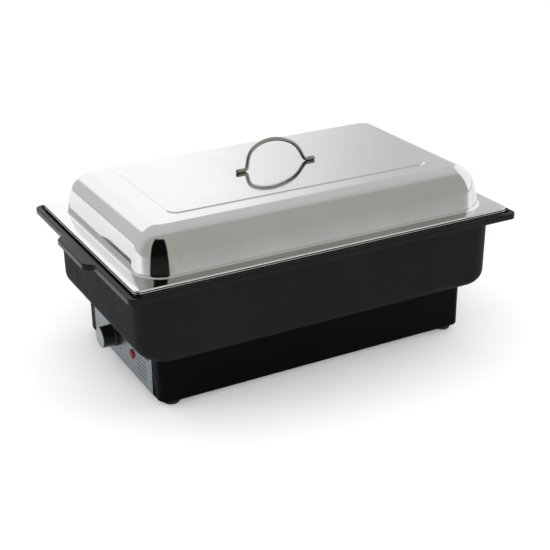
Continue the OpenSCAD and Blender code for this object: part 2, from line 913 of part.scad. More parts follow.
lean = 12;
root_r = 3.2;
dome_root = [dome_r, z_flange];
dome_knee = [dome_r - 8.8, z_flange + 41.5];
dome_fold = [dome_r - 30, z_fold];
knee_in = dome_knee + (dome_root - dome_knee) * 0.45;
knee_out = dome_knee + (dome_fold - dome_knee) * 0.5;
fold_in = dome_fold + unit(dome_knee - dome_fold) * 11.5;
flat_edge = 3;
dome_line = concat(
  [[dome_r + 6, z_flange]],
  arc([dome_r + 2.6, z_flange + root_r], root_r, 270, 180 + lean, 5),
  bend(knee_in, dome_knee, knee_out, 10),
  bend(fold_in, dome_fold, [flat_edge + 1, z_fold], 6),
  [[flat_edge, z_fold]]
);
emboss_line = [
  [emboss_r + 2, z_fold], [emboss_r, z_fold], [emboss_r - 0.6, z_fold + 0.15],
  [emboss_r - 1.6, z_top - 0.15], [emboss_r - 2.2, z_top], [emboss_r - 4, z_top]
];

module lid_shell() {
  color("#d9dbda") {
    swept(dome_cl, dome_cw) polygon(sheet(dome_line, sheet_t));
    rim_flange(z_flange, dome_cl, dome_cw, dome_r + 5.9);
    rim_edge(z_pan + 0.1, z_flange - z_pan - 0.1);
    difference() {
      plate(dome_cl + 2 * flat_edge + 0.2, dome_cw + 2 * flat_edge + 0.2, flat_edge + 0.1,
        z_fold - sheet_t, sheet_t);
      plate(emboss_cl + 2 * emboss_r + 3.8, emboss_cw + 2 * emboss_r + 3.8, emboss_r + 1.9,
        z_fold - 3, 6);
    }
    swept(emboss_cl, emboss_cw) polygon(sheet(emboss_line, sheet_t));
    plate(emboss_cl + 2 * (emboss_r - 4) + 0.2, emboss_cw + 2 * (emboss_r - 4) + 0.2,
      emboss_r - 3.9, z_top - sheet_t, sheet_t);
  }
}

foot_z = z_top + rod_r - 0.1;

module lid_handle() {
  color("#c9ccca")
    translate([handle_x, 0, foot_z])
      rotate([-handle_lean, 0, 0])
        wire([[-59, 0, 0], [-43.5, 0, 0], [-35, 0, 22.5], [0, 0, 39],
          [35, 0, 22.5], [43.5, 0, 0], [59, 0, 0]], rod_r, [5.2, 28, 54, 28, 5.2], 20, 6);
}

// ---- what is drawn ------------------------------------------------------------------

tub();
plinth();
bottom_cover();
feet();
foot_screws();
tub_screws();
water_pan();
heat_shield();
element_plate();
heating_element();
element_terminals();
element_clamps();
clamp_nuts();
sensor_bulb();
bulb_clip();
capillary_tube();
thermal_cutout();
cutout_bracket();
thermostat_body();
thermostat_tabs();
thermostat_screws();
control_panel();
panel_marks();
lamp_lens();
lamp_body();
lamp_nut();
terminal_block();
block_screws();
earth_stud();
earth_nut();
wire_live();
wire_neutral();
wire_earth();
wire_switched();
wire_lamp();
inlet_body();
inlet_pins();
inlet_screws();
food_pan();
lid_shell();
lid_handle();
knob_body();
knob_cap();
knob_pointer();
thermostat_shaft();
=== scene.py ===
"""Electric buffet server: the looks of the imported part, in metres, in the part's own frame."""

import json
import math

import bmesh
import bpy
from mathutils import Matrix, Vector


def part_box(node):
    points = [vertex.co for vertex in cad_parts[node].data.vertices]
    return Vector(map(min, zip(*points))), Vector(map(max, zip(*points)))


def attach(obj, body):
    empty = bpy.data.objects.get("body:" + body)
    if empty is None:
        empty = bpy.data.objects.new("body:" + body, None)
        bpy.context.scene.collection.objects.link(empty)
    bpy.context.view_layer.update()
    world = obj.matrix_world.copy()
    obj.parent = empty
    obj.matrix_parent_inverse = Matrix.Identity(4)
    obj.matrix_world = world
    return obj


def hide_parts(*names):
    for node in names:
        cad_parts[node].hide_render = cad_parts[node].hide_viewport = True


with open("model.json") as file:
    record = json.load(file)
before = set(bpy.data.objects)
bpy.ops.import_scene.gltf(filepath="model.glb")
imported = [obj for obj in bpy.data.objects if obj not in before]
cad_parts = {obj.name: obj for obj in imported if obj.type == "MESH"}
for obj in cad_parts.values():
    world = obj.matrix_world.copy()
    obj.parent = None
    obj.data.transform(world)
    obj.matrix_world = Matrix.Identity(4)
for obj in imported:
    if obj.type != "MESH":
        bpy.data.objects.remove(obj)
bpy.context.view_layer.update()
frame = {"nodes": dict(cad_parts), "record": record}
nodes = frame["nodes"]
slot_of = {part["node"]: part["material_slot"] for part in frame["record"]["subparts"]}
MM = 0.001

# camera: azimuth and elevation as in the views, roll about its own axis, and what it looks at
CAM_AZIMUTH = -28.38
CAM_ELEVATION = 24.34
CAM_ROLL = -0.565
CAM_DISTANCE = 1.4672
CAM_TARGET = (-0.0473, -0.0912, 0.1283)
CAM_LENS = 75.51

# Sizes in millimetres, angles in degrees, as in the CAD.
# The rectangles that the pressed and moulded corners turn round: length, width.
DOME_CORE = (413.5, 211.0)
PAN_CORE = (446.0, 241.0)
TUB_CORE = (427.0, 237.0)
RIM_R = 9.0
SHEET = 0.8
# Lid: corner radius at the root, lean of the wall, radius of the root's bend, height of the
# flange; then how far in and up the two bends of the shoulder are, and the panel's step.
DOME_R, DOME_LEAN, ROOT_R, FLANGE_H = 41.0, 12.0, 3.2, 3.1
KNEE_IN, KNEE_UP = 8.8, 41.5
FOLD_IN, FOLD_RUN, FOLD_EDGE = 30, 11.5, 4
PANEL_L, PANEL_W, PANEL_R, PANEL_UP = 373.0, 180.0, 14.0, 1.2
# Handle: wire radius, place along X, lean; then its path and the radius at each bend.
ROD_R, HANDLE_X, HANDLE_LEAN = 2.75, 5.0, 22.0
HANDLE_HALF, HANDLE_TOP = [(59, 0), (43.5, 0), (35, 22.5)], (0, 39)
HANDLE_BENDS = [5.2, 28, 54, 28, 5.2]
# Food pan: radii of its mouth and of its floor's fillet. Bath: the same, and its wall's play.
PAN_MOUTH_R, PAN_FLOOR_R = 4, 12
BATH_MOUTH_R, BATH_FLOOR_R, BATH_PLAY = 1.5, 8, 1.4
# Tub: corner radius, bottom fillet, draft, wall; lip and ledge; grips.
TUB_R, TUB_FILLET, TUB_DRAFT, WALL = 40.0, 20.0, 0.8, 2.5
LIP_R, LIP_H, LEDGE_T, LIP_TOP, LIP_EDGE_R = 10.0, 7.8, 3.2, 7, 1.3
GRIP_OUT, GRIP_HALF, GRIP_RUN = 10.8, 43.4, 15.0

# edges sharper than this stay sharp, and edges sharper than that get a small bevel
SHARP_ANGLE, BEVEL_ANGLE = 32, 40

# level direction of the one dark gap in the studio, and the black card that stands in it
GAP_WAY = (-0.5075, -0.8616)
CARD_SIZE, CARD_TURN, CARD_OUT = (3.1, 0.34), -30.5, 2.5


# ---- materials ------------------------------------------------------------------------


class Nodes:
    """Small helpers round one node tree."""

    def __init__(self, tree, coords):
        self.tree = tree
        self.coords = self.node("ShaderNodeTexCoord").outputs[coords]

    def node(self, kind, **settings):
        made = self.tree.nodes.new(kind)
        for key, value in settings.items():
            setattr(made, key, value)
        return made

    def link(self, a, b):
        self.tree.links.new(a, b)

    def stretched(self, scale):
        mapping = self.node("ShaderNodeMapping")
        mapping.inputs["Scale"].default_value = scale
        self.link(self.coords, mapping.inputs["Vector"])
        return mapping.outputs["Vector"]

    def noise(self, scale, detail=3.0, rough=0.55, stretch=None):
        made = self.node("ShaderNodeTexNoise")
        made.inputs["Scale"].default_value = scale
        made.inputs["Detail"].default_value = detail
        made.inputs["Roughness"].default_value = rough
        self.link(self.stretched(stretch) if stretch else self.coords, made.inputs["Vector"])
        return made.outputs["Fac"]

    def remap(self, value, low, high, from_low=0.3, from_high=0.7, smooth=False):
        """From one range to another; a number may also be the output of a node."""
        kind = "SMOOTHSTEP" if smooth else "LINEAR"
        made = self.node("ShaderNodeMapRange", interpolation_type=kind)
        for key, number in (
            ("From Min", from_low), ("From Max", from_high), ("To Min", low), ("To Max", high)
        ):
            if isinstance(number, (int, float)):
                made.inputs[key].default_value = number
            else:
                self.link(number, made.inputs[key])
        self.link(value, made.inputs["Value"])
        return made.outputs["Result"]

    def ramp(self, value, dark, light, low=0.3, high=0.7):
        made = self.node("ShaderNodeValToRGB")
        made.color_ramp.elements[0].position = low
        made.color_ramp.elements[0].color = (*dark, 1)
        made.color_ramp.elements[1].position = high
        made.color_ramp.elements[1].color = (*light, 1)
        self.link(value, made.inputs["Fac"])
        return made.outputs["Color"]

    def mix(self, factor, a, b):
        made = self.node("ShaderNodeMix", data_type="RGBA")
        self.link(factor, made.inputs["Factor"])
        for socket, value in (("A", a), ("B", b)):
            if isinstance(value, tuple):
                made.inputs[socket].default_value = (*value, 1)
            else:
                self.link(value, made.inputs[socket])
        return made.outputs["Result"]

    def toward(self, direction, stretch=(1, 1, 1)):
        """How far the coordinates point towards a direction: 1 straight at it, 0 across it."""
        unit = self.node("ShaderNodeVectorMath", operation="NORMALIZE")
        self.link(self.stretched(stretch), unit.inputs[0])
        dot = self.node("ShaderNodeVectorMath", operation="DOT_PRODUCT")
        self.link(unit.outputs["Vector"], dot.inputs[0])
        dot.inputs[1].default_value = Vector(direction).normalized()
        return dot.outputs["Value"]


class Shader(Nodes):
    """A material under construction."""

    def __init__(self, name):
        self.mat = bpy.data.materials.new(name)
        self.mat.use_nodes = True
        super().__init__(self.mat.node_tree, "Object")
        self.bsdf = self.tree.nodes["Principled BSDF"]

    def edges(self, radius):
        """Near 1 on sharp edges, from how far the bevelled normal leans from the true one."""
        bevel = self.node("ShaderNodeBevel", samples=4)
        bevel.inputs["Radius"].default_value = radius
        true_normal = self.node("ShaderNodeNewGeometry").outputs["Normal"]
        dot = self.node("ShaderNodeVectorMath", operation="DOT_PRODUCT")
        self.link(bevel.outputs["Normal"], dot.inputs[0])
        self.link(true_normal, dot.inputs[1])
        return self.remap(dot.outputs["Value"], 1.0, 0.0, 0.80, 0.995)

    def bump(self, height, strength, distance, after=None):
        made = self.node("ShaderNodeBump")
        made.inputs["Strength"].default_value = strength
        made.inputs["Distance"].default_value = distance
        self.link(height, made.inputs["Height"])
        if after:
            self.link(after, made.inputs["Normal"])
        return made.outputs["Normal"]

    def done(self, color, roughness, normal=None, metallic=0.0, specular=0.5):
        self.link(color, self.bsdf.inputs["Base Color"])
        self.link(roughness, self.bsdf.inputs["Roughness"])
        if normal:
            self.link(normal, self.bsdf.inputs["Normal"])
        self.bsdf.inputs["Metallic"].default_value = metallic
        self.bsdf.inputs["Specular IOR Level"].default_value = specular
        return self.mat


def moulded(name, dark, light, rough=(0.42, 0.56), grain=0.10, worn=(0.05, 0.053, 0.055),
            specular=0.25, sink=0.05):
    """Satin moulded plastic with a spark-eroded texture and slightly rubbed edges."""
    s = Shader(name)
    color = s.ramp(s.noise(9, 4), dark, light)
    color = s.mix(s.remap(s.edges(0.9 * MM), 0.0, 0.35, 0.0, 1.0), color, worn)
    fine = s.bump(s.noise(1500, 2, 0.6), grain, 0.05 * MM)
    broad = s.bump(s.noise(14, 2), sink, 0.4 * MM, after=fine)
    return s.done(color, s.remap(s.noise(60, 4), *rough), broad, specular=specular)


def polished(name, dark, light, rough=(0.05, 0.10), stretch=(2, 160, 160), wave=0.02):
    """Mirror-finished steel: faint rolling lines, wipe marks and a slight waviness."""
    s = Shader(name)
    color = s.ramp(s.noise(7, 3), dark, light)
    smear = s.remap(s.noise(26, 5, 0.65), *rough)
    lines = s.bump(s.noise(9, 2, stretch=stretch), 0.012, 0.02 * MM)
    broad = s.bump(s.noise(11, 1), wave, 1.0 * MM, after=lines)
    return s.done(color, smear, broad, metallic=1.0)


def brushed(name, dark, light, rough=(0.22, 0.36), stretch=(4, 260, 260), lines=0.08):
    """Brushed or rolled metal with lines along one direction."""
    s = Shader(name)
    color = s.ramp(s.noise(8, 3), dark, light)
    grain = s.noise(8, 3, stretch=stretch)
    normal = s.bump(grain, lines, 0.03 * MM)
    return s.done(color, s.remap(grain, *rough), normal, metallic=1.0)


def plain_ceramic(name, dark, light):
    """Unglazed ceramic: mottled, dull and slightly grainy."""
    s = Shader(name)
    color = s.ramp(s.noise(30, 4), dark, light)
    normal = s.bump(s.noise(900, 2), 0.15, 0.1 * MM)
    return s.done(color, s.remap(s.noise(120, 3), 0.5, 0.8), normal)


def glossy(name, dark, light, rough=(0.16, 0.28)):
    """Glossy plastic: insulation, lamp body and pointer."""
    s = Shader(name)
    color = s.ramp(s.noise(40, 3), dark, light)
    normal = s.bump(s.noise(220, 2), 0.05, 0.08 * MM)
    return s.done(color, s.remap(s.noise(150, 3), *rough), normal)


def braided(name, dark, light):
    """Woven glass sleeving: a fine crossed weave."""
    s = Shader(name)
    fibres = []
    for turn in (0.7, -0.7):
        wave = s.node("ShaderNodeTexWave", bands_direction="DIAGONAL")
        wave.inputs["Scale"].default_value = 420
        wave.inputs["Distortion"].default_value = 1.5
        s.link(s.stretched((1, turn, 1 - abs(turn))), wave.inputs["Vector"])
        fibres.append(wave.outputs["Fac"])
    color = s.mix(fibres[0], dark, light)
    normal = s.bump(fibres[1], 0.4, 0.1 * MM, after=s.bump(fibres[0], 0.4, 0.1 * MM))
    return s.done(color, s.remap(s.noise(300, 3), 0.7, 0.85), normal)


def red_lens():
    """Deep red lens that lets some light through, with moulded ribs."""
    s = Shader("red_lens")
    s.bsdf.inputs["Transmission Weight"].default_value = 0.35
    color = s.ramp(s.noise(160, 2), (0.12, 0.003, 0.004), (0.20, 0.006, 0.007))
    ribs = s.node("ShaderNodeTexWave", bands_direction="Y")
    ribs.inputs["Scale"].default_value = 260
    s.link(s.coords, ribs.inputs["Vector"])
    normal = s.bump(ribs.outputs["Fac"], 0.2, 0.2 * MM)
    return s.done(color, s.remap(s.noise(90, 3), 0.10, 0.2), normal)


LOOKS = {
    "black_plastic": moulded("tub_black", (0.0070, 0.0075, 0.0077), (0.0092, 0.0098, 0.0101),
                             (0.42, 0.52), 0.10, (0.02, 0.021, 0.022), specular=0.018,
                             sink=0.012),
    # painted shade: the plinth is the tub's black plastic, coloured several times darker to stand in
    # for the shade it sits in below the tub
    "plinth_plastic": moulded("plinth_black_painted_shade", (0.0008, 0.0010, 0.0010), (0.0014, 0.0017, 0.0017),
                              (0.40, 0.50), 0.08, (0.006, 0.007, 0.007), specular=0.03,
                              sink=0.015),
    "rubber": moulded("rubber", (0.008, 0.008, 0.008), (0.014, 0.014, 0.014), (0.7, 0.85), 0.2),
    "cover_steel": brushed("zinc_sheet", (0.44, 0.45, 0.46), (0.52, 0.53, 0.54), (0.35, 0.5),
                           (90, 90, 90)),
    "bath_steel": brushed("bath_steel", (0.50, 0.50, 0.49), (0.58, 0.58, 0.57), (0.16, 0.26)),
    "pan_steel": polished("pan_steel", (0.52, 0.52, 0.51), (0.58, 0.58, 0.57), (0.10, 0.18)),
    "lid_steel": polished("lid_steel", (0.55, 0.55, 0.54), (0.60, 0.60, 0.59)),
    "handle_steel": polished("handle_steel", (0.33, 0.33, 0.30), (0.40, 0.40, 0.37), (0.14, 0.24)),
    "fixings": brushed("plated_steel", (0.50, 0.50, 0.50), (0.62, 0.62, 0.62), (0.25, 0.4),
                       (300, 300, 300)),
    "aluminium_plate": brushed("rolled_aluminium", (0.66, 0.67, 0.68), (0.74, 0.75, 0.76),
                               (0.3, 0.42)),
    "element_sheath": brushed("heated_sheath", (0.10, 0.085, 0.075), (0.20, 0.17, 0.15),
                              (0.4, 0.6), (60, 60, 60)),
    "brass": brushed("brass", (0.52, 0.37, 0.13), (0.64, 0.48, 0.2), (0.25, 0.4), (160, 160, 160)),
    "copper": brushed("copper", (0.55, 0.25, 0.13), (0.68, 0.33, 0.18), (0.25, 0.4),
                      (160, 160, 160)),
    "ceramic": plain_ceramic("ceramic", (0.62, 0.57, 0.48), (0.74, 0.70, 0.62)),
    "panel_silver": brushed("panel_silver", (0.21, 0.235, 0.25), (0.255, 0.28, 0.295), (0.34, 0.44),
                            (260, 4, 260)),
    "print": moulded("ink", (0.012, 0.013, 0.015), (0.022, 0.023, 0.025), (0.5, 0.65)),
    "lens_red": red_lens(),
    "lamp_plastic": glossy("lamp_plastic", (0.62, 0.58, 0.5), (0.72, 0.68, 0.6)),
    "knob_black": moulded("knob_black", (0.002, 0.0022, 0.0023), (0.0034, 0.0037, 0.0038),
                          (0.28, 0.38), 0.05, specular=0.25),
    "knob_silver": brushed("knob_silver", (0.27, 0.285, 0.285), (0.33, 0.345, 0.345), (0.28, 0.38),
                           (90, 90, 90)),
    "pointer_white": glossy("pointer_white", (0.66, 0.66, 0.66), (0.78, 0.78, 0.78)),
    "wire_brown": glossy("wire_brown", (0.10, 0.045, 0.02), (0.14, 0.065, 0.03)),
    "wire_blue": glossy("wire_blue", (0.02, 0.07, 0.28), (0.03, 0.10, 0.36)),
    "wire_green": glossy("wire_green", (0.10, 0.24, 0.02), (0.42, 0.46, 0.03)),
    "wire_sleeve": braided("wire_sleeve", (0.60, 0.57, 0.50), (0.78, 0.75, 0.68)),
    "inlet_black": moulded("inlet_black", (0.008, 0.008, 0.009), (0.013, 0.013, 0.014)),
}
# the lip is the tub's own plastic, rubbed shinier by the pan's rim and by hands
LIP_LOOK = moulded("lip_black", (0.0030, 0.0034, 0.0035), (0.0044, 0.0049, 0.0051), (0.16, 0.23),
                   0.05, (0.02, 0.021, 0.022), specular=0.09, sink=0.012)
for name, obj in nodes.items():
    obj.data.materials.clear()
    obj.data.materials.append(LOOKS[slot_of[name]])


# ---- meshes ---------------------------------------------------------------------------


def skin(name, rings, caps=(False, False), closed=False):
    """A smooth mesh over rings of equally many points, in millimetres."""
    mesh = bpy.data.meshes.new(name)
    bm = bmesh.new()
    rows = [[bm.verts.new(Vector(p) * MM) for p in ring] for ring in rings]
    if closed:
        rows.append(rows[0])
    for low, high in zip(rows, rows[1:]):
        for k in range(len(low)):
            n = (k + 1) % len(low)
            bm.faces.new((low[k], low[n], high[n], high[k]))
    if caps[0]:
        bm.faces.new(rows[0][::-1])
    if caps[1]:
        bm.faces.new(rows[-1])
    bmesh.ops.remove_doubles(bm, verts=bm.verts, dist=1e-6)
    bmesh.ops.recalc_face_normals(bm, faces=bm.faces)
    for face in bm.faces:
        face.smooth = True
    bm.to_mesh(mesh)
    bm.free()
    obj = bpy.data.objects.new(name, mesh)
    bpy.context.scene.collection.objects.link(obj)
    return obj


def rounded_ring(half_l, half_w, radius, z, per_corner=28):
    """Points round a rectangle with rounded corners; more of them near the ends of a side."""
    points = []
    corners = [(1, 1, 0), (-1, 1, 90), (-1, -1, 180), (1, -1, 270)]
    for sx, sy, start in corners:
        cx, cy = sx * (half_l - radius), sy * (half_w - radius)
        for k in range(per_corner + 1):
            a = math.radians(start + 90 * k / per_corner)
            points.append(Vector((cx + radius * math.cos(a), cy + radius * math.sin(a), z)))
    ring = []
    for i in range(4):
        run = points[i * (per_corner + 1):(i + 1) * (per_corner + 1)]
        after = points[((i + 1) * (per_corner + 1)) % len(points)]
        ring += run + [run[-1].lerp(after, t) for t in (0.006, 0.15, 0.35, 0.65, 0.85, 0.994)]
    return ring


def supported(stations):
    """The same profile with a point close to each end of every long run."""
    out = [stations[0]]
    for a, b in zip(stations, stations[1:]):
        run = math.hypot(b[0] - a[0], b[3] - a[3])
        if run > 3:
            for t in (0.35 / run, 1 - 0.35 / run):
                out.append(tuple(p + (q - p) * t for p, q in zip(a, b)))
        out.append(b)
    return out


def other_face(stations, thickness):
    """The far face of the sheet: each station moved along its profile's normal."""
    out = []
    for i, (half_l, half_w, radius, z) in enumerate(stations):
        a = stations[max(i - 1, 0)]
        b = stations[min(i + 1, len(stations) - 1)]
        run = math.hypot(b[0] - a[0], b[3] - a[3])
        across, up = -(b[3] - a[3]) / run * thickness, (b[0] - a[0]) / run * thickness
        out.append((half_l + across, half_w + across, max(radius + across, 0.5), z + up))
    return out


def pressed(name, hem, body, thickness):
    """Sheet-metal piece: a rolled hem, then the visible face in to the middle, and its far face."""
    body = supported(body)
    near = [rounded_ring(*s) for s in hem + body]
    far = [rounded_ring(*s) for s in other_face(body, thickness)]
    return skin(name, far[::-1] + near, caps=(True, True))


def arc(cx, cz, r, start, end, count):
    """Points along an arc, angles in degrees."""
    steps = [math.radians(start + (end - start) * i / count) for i in range(count + 1)]
    return [(cx + r * math.cos(a), cz + r * math.sin(a)) for a in steps]


def bend(a, p, b, count):
    """Points along a smooth bend from a to b that is pulled towards p."""
    out = []
    for i in range(count + 1):
        t = i / count
        out.append(tuple((1 - t) ** 2 * a[k] + 2 * t * (1 - t) * p[k] + t * t * b[k]
                         for k in (0, 1)))
    return out


def part_way(a, b, t):
    return tuple(p + (q - p) * t for p, q in zip(a, b))


def around(core, profile):
    """Stations of a profile (distance out from a core rectangle, height)."""
    return [(core[0] / 2 + u, core[1] / 2 + u, u, z) for u, z in profile]


def rim_hem(half_l, half_w, z, height):
    """The rolled edge of a steel rim, from inside its lower edge round to its top."""
    profile = [(-2.2, z + 0.4)] + arc(-1.8, z + 0.4, 0.4, 180, 270, 4)[1:]
    profile += arc(-0.4, z + 0.4, 0.4, 270, 360, 4) + arc(-0.9, z + height - 0.9, 0.9, 0, 90, 6)
    return [(half_l + u, half_w + u, RIM_R + u, zz) for u, zz in profile]


def mm_box(node):
    low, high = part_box(node)
    return [v / MM for v in low], [v / MM for v in high]


def shown_as(piece, node, body):
    """The piece is seen in place of a CAD node and moves with its body."""
    piece.data.materials.append(LOOKS[slot_of[node]])
    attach(piece, body)
    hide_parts(node)


# ---- lid ------------------------------------------------------------------------------


def lid():
    low, high = mm_box("lid_shell")
    z0, z_flange = low[2], low[2] + FLANGE_H
    z_top = high[2]
    z_fold = z_top - PANEL_UP
    root = (DOME_R, z_flange)
    knee = (DOME_R - KNEE_IN, z_flange + KNEE_UP)
    fold = (DOME_R - FOLD_IN, z_fold)
    slope = math.atan2(knee[1] - fold[1], knee[0] - fold[0])
    fold_in = (fold[0] + FOLD_RUN * math.cos(slope), fold[1] + FOLD_RUN * math.sin(slope))
    dome = arc(DOME_R + 2.6, z_flange + ROOT_R, ROOT_R, 270, 180 + DOME_LEAN, 8)
    dome += bend(part_way(knee, root, 0.45), knee, part_way(knee, fold, 0.5), 26)
    dome += bend(fold_in, fold, (FOLD_EDGE, z_fold), 14)
    raised = [(14.5, z_fold), (14.0, z_fold + 0.04), (13.4, z_fold + 0.22), (12.9, z_fold + 0.6),
              (12.4, z_top - 0.22), (11.8, z_top - 0.04), (11.2, z_top), (6, z_top)]
    body = around(DOME_CORE, dome)
    body += around((PANEL_L - 2 * PANEL_R, PANEL_W - 2 * PANEL_R), raised)
    hem = rim_hem(high[0], high[1], z0, z_flange - z0)
    piece = pressed("lid_dome", hem, body, SHEET)
    shown_as(piece, "lid_shell", "lid")


def tube(name, points, radius, sides=28):
    """A round rod along a plane path, with softly rounded ends."""
    ends = [(0.0, 0.35), (0.12, 0.7), (0.35, 0.92), (1.0, 1.0)]
    path = [(points[0].lerp(points[1], t * radius / (points[1] - points[0]).length), s)
            for t, s in ends]
    path += [(p, 1.0) for p in points[1:-1]]
    path += [(points[-1].lerp(points[-2], t * radius / (points[-2] - points[-1]).length), s)
             for t, s in reversed(ends)]
    rings = []
    plane = (points[1] - points[0]).cross(points[len(points) // 2] - points[0]).normalized()
    for i, (p, size) in enumerate(path):
        along = (path[min(i + 1, len(path) - 1)][0] - path[max(i - 1, 0)][0]).normalized()
        side = plane.cross(along)
        rings.append([
            p + radius * size * (math.cos(2 * math.pi * k / sides) * side
                                 + math.sin(2 * math.pi * k / sides) * plane)
            for k in range(sides)
        ])
    return skin(name, rings, caps=(True, True))


def rounded_path(points, radii, step=4):
    """The path with each inner corner rounded by its own radius."""
    out = [points[0]]
    for i in range(1, len(points) - 1):
        a = (points[i] - points[i - 1]).normalized()
        b = (points[i + 1] - points[i]).normalized()
        turn, r = a.angle(b), radii[i - 1]
        n = (b - a.dot(b) * a).normalized()
        start = points[i] - a * r * math.tan(turn / 2)
        count = max(2, math.ceil(math.degrees(turn) / step))
        for k in range(count + 1):
            t = turn * k / count
            out.append(start + n * r * (1 - math.cos(t)) + a * r * math.sin(t))
    return out + [points[-1]]


def lid_handle():
    base = mm_box("lid_shell")[1][2] + ROD_R - 0.1
    flat = [(-x, z) for x, z in HANDLE_HALF] + [HANDLE_TOP] + HANDLE_HALF[::-1]
    lean = Matrix.Rotation(-math.radians(HANDLE_LEAN), 4, "X")
    points = [lean @ Vector((x, 0, z)) + Vector((HANDLE_X, 0, base)) for x, z in flat]
    piece = tube("lid_bail", rounded_path(points, HANDLE_BENDS), ROD_R)
    shown_as(piece, "lid_handle", "lid")


# ---- pans -----------------------------------------------------------------------------


def food_pan():
    low, high = mm_box("food_pan")
    top, floor = high[2], low[2]
    wall = arc(25, top - PAN_MOUTH_R, PAN_MOUTH_R, 90, 180, 8)
    wall += arc(1, floor + SHEET + PAN_FLOOR_R, PAN_FLOOR_R, 8, -90, 14)
    body = around(PAN_CORE, [(26, top)] + wall)
    piece = pressed("food_pan_sheet", rim_hem(high[0], high[1], top - 3.2, 3.2), body, SHEET)
    shown_as(piece, "food_pan", "food_pan")


def water_bath():
    low, high = mm_box("water_pan")
    top, floor = high[2], low[2]
    mouth = TUB_R + TUB_DRAFT - WALL - 2 * SHEET
    wall = TUB_R - WALL - BATH_PLAY - SHEET
    profile = [(mouth + 2, top)]
    profile += arc(mouth + BATH_MOUTH_R, top - BATH_MOUTH_R, BATH_MOUTH_R, 90, 180, 6)
    profile.append((wall, floor + 12))
    profile += arc(wall - BATH_FLOOR_R, floor + SHEET + BATH_FLOOR_R, BATH_FLOOR_R, 0, -90, 10)
    edge = [(high[0] - k, high[1] - k, 8.5 - k, z)
            for k, z in ((0.3, top - SHEET), (0.05, top - 0.6), (0.0, top - 0.4), (0.08, top - 0.12),
                         (0.3, top))]
    piece = pressed("bath_sheet", edge, around(TUB_CORE, profile), SHEET)
    shown_as(piece, "water_pan", "housing")


# ---- tub ------------------------------------------------------------------------------


def ease(t):
    """0 to 1 with a soft start and end."""
    t = min(max(t, 0), 1)
    return (1 - math.cos(math.pi * t)) / 2


def lip_ring(inset, z, half_l, half_w, grip=GRIP_OUT):
    """Outline of the lip drawn in by inset, with its two grips, or without them if grip is 0."""
    corner_y = half_w - LIP_R
    runs = [corner_y - 0.4]
    runs += [corner_y + (GRIP_HALF + GRIP_RUN - corner_y) * i / 6 for i in range(1, 7)]
    runs += [GRIP_HALF + GRIP_RUN * (1 - i / 14) for i in range(1, 15)]
    runs += [GRIP_HALF * (1 - i / 4) for i in range(1, 5)]
    side = [(half_l + grip * ease((GRIP_HALF + GRIP_RUN - y) / GRIP_RUN) - inset, y)
            for y in runs]
    turn = LIP_R - inset
    quarter = [(half_l - LIP_R + turn * math.cos(a), corner_y + turn * math.sin(a))
               for a in (math.radians(90 - 90 * k / 14) for k in range(15))]
    long_run = [(half_l - LIP_R) * t for t in (0.0, 0.5, 0.998)]
    half = [(x, half_w - inset) for x in long_run] + quarter + side
    right = half + [(x, -y) for x, y in half[-2::-1]]
    ring = right + [(-x, y) for x, y in right[-2:0:-1]]
    return [Vector((x, y, z)) for x, y in ring]


def pulled_in(ring, core, radius):
    """The same points moved to a rounded opening inside them."""
    out = []
    for p in ring:
        held = Vector((min(max(p.x, -core[0] / 2), core[0] / 2),
                       min(max(p.y, -core[1] / 2), core[1] / 2), p.z))
        out.append(held + (p - held).normalized() * radius)
    return out


def tub():
    low, high = mm_box("tub")
    z_floor, z_lip = low[2], high[2]
    half_l, half_w = high[0] - GRIP_OUT, high[1]
    z_ledge = mm_box("water_pan")[1][2] - SHEET
    under = z_ledge - LEDGE_T
    foot = z_lip - LIP_H
    wall = [(TUB_R - TUB_FILLET * (1 - math.sin(a)), z_floor + TUB_FILLET * (1 - math.cos(a)))
            for a in (math.radians(90 * k / 16) for k in range(17))]
    wall.append((TUB_R + TUB_DRAFT, under + 0.2))
    stations = supported(around(TUB_CORE, wall))
    inside = other_face(stations, WALL)
    rings = [rounded_ring(*s) for s in stations[::-1]] + [rounded_ring(*s) for s in inside]
    shell = skin("tub_wall", rings)
    mouth = [(LIP_TOP, z_ledge)] + [(6.2 - u, z) for u, z in arc(0, z_lip - 0.8, 0.8, 180, 90, 5)]
    mouth.append((5.8, z_lip))
    face = [(1.7, z_lip)]
    face += [(LIP_EDGE_R - u, z) for u, z in arc(0, z_lip - LIP_EDGE_R, LIP_EDGE_R, 90, 0, 7)]
    face += [(0.6 - u, z) for u, z in arc(0, foot + 0.6, 0.6, 0, -90, 4)]
    face += [(2.6, foot), (3, foot + 0.4), (3, under)]
    lip = [lip_ring(inset, z, half_l, half_w, 0) for inset, z in mouth]
    lip += [lip_ring(inset, z, half_l, half_w) for inset, z in face]
    opening = TUB_R + TUB_DRAFT - WALL
    rings = [pulled_in(lip[-1], TUB_CORE, opening), pulled_in(lip[0], TUB_CORE, opening)] + lip
    rim = skin("tub_lip", rings, closed=True)
    for piece, look in ((shell, LOOKS[slot_of["tub"]]), (rim, LIP_LOOK)):
        piece.data.materials.append(look)
        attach(piece, "housing")
    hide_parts("tub")


# ---- CAD nodes that stay ---------------------------------------------------------------


